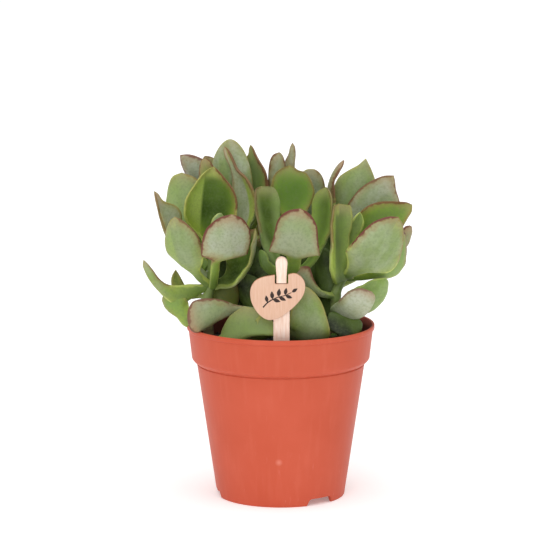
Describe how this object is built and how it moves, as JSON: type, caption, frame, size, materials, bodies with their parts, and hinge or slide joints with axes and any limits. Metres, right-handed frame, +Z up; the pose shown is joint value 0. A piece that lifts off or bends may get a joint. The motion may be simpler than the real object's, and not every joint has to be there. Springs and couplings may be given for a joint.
{
  "type": "potted silver jade plant",
  "caption": "Young silver jade plant with upright, cupped, ripple-edged succulent leaves in a round terracotta plastic nursery pot, with a bare wooden pick label.",
  "frame": {"origin": "on the surface that the pot stands on, on the pot's axis", "axes": "+Z up along the pot's axis, -Y towards the side with the label, +X to the right seen from that side"},
  "size_m": [0.1272, 0.0911, 0.17],
  "materials": {
    "pot_plastic": "satin injection-moulded polypropylene, terracotta",
    "potting_soil": "moist dark peat-free compost, crumbly and matt",
    "stem_bark": "green succulent stem, corky brown low down",
    "leaf_silver": "fleshy leaf with a silvery wax bloom, satin",
    "leaf_green": "fleshy leaf, grass green inner face, satin",
    "stick_wood": "bare pale birch, sanded",
    "plate_wood": "bare pale wood, sawn and sanded, with a burnt-in sprig"
  },
  "bodies": {
    "root": {"label_disc": "plate_wood", "label_stick": "stick_wood", "leaf_back_centre_1": "leaf_silver", "leaf_back_centre_2": "leaf_silver", "leaf_back_centre_3": "leaf_silver", "leaf_back_centre_4": "leaf_green", "leaf_back_centre_5": "leaf_green", "leaf_back_centre_6": "leaf_silver", "leaf_back_centre_7": "leaf_silver", "leaf_back_left_1": "leaf_silver", "leaf_back_left_2": "leaf_silver", "leaf_back_left_3": "leaf_silver", "leaf_back_left_4": "leaf_green", "leaf_back_left_5": "leaf_silver", "leaf_back_left_6": "leaf_green", "leaf_back_left_7": "leaf_silver", "leaf_back_left_8": "leaf_green", "leaf_back_right_1": "leaf_silver", "leaf_back_right_2": "leaf_silver", "leaf_back_right_3": "leaf_silver", "leaf_back_right_4": "leaf_silver", "leaf_back_right_5": "leaf_green", "leaf_back_right_6": "leaf_silver", "leaf_centre_1": "leaf_silver", "leaf_centre_2": "leaf_silver", "leaf_centre_3": "leaf_silver", "leaf_centre_4": "leaf_silver", "leaf_centre_5": "leaf_silver", "leaf_centre_6": "leaf_green", "leaf_centre_7": "leaf_green", "leaf_centre_8": "leaf_green", "leaf_left_1": "leaf_silver", "leaf_left_10": "leaf_green", "leaf_left_11": "leaf_green", "leaf_left_2": "leaf_green", "leaf_left_3": "leaf_silver", "leaf_left_4": "leaf_silver", "leaf_left_5": "leaf_silver", "leaf_left_6": "leaf_green", "leaf_left_7": "leaf_green", "leaf_left_8": "leaf_silver", "leaf_left_9": "leaf_green", "leaf_right_1": "leaf_silver", "leaf_right_10": "leaf_silver", "leaf_right_2": "leaf_silver", "leaf_right_3": "leaf_silver", "leaf_right_4": "leaf_green", "leaf_right_5": "leaf_silver", "leaf_right_6": "leaf_green", "leaf_right_7": "leaf_silver", "leaf_right_8": "leaf_silver", "leaf_right_9": "leaf_silver", "pot": "pot_plastic", "soil": "potting_soil", "stem_back_centre": "stem_bark", "stem_back_left": "stem_bark", "stem_back_right": "stem_bark", "stem_centre": "stem_bark", "stem_left": "stem_bark", "stem_right": "stem_bark"}
  },
  "joints": []
}
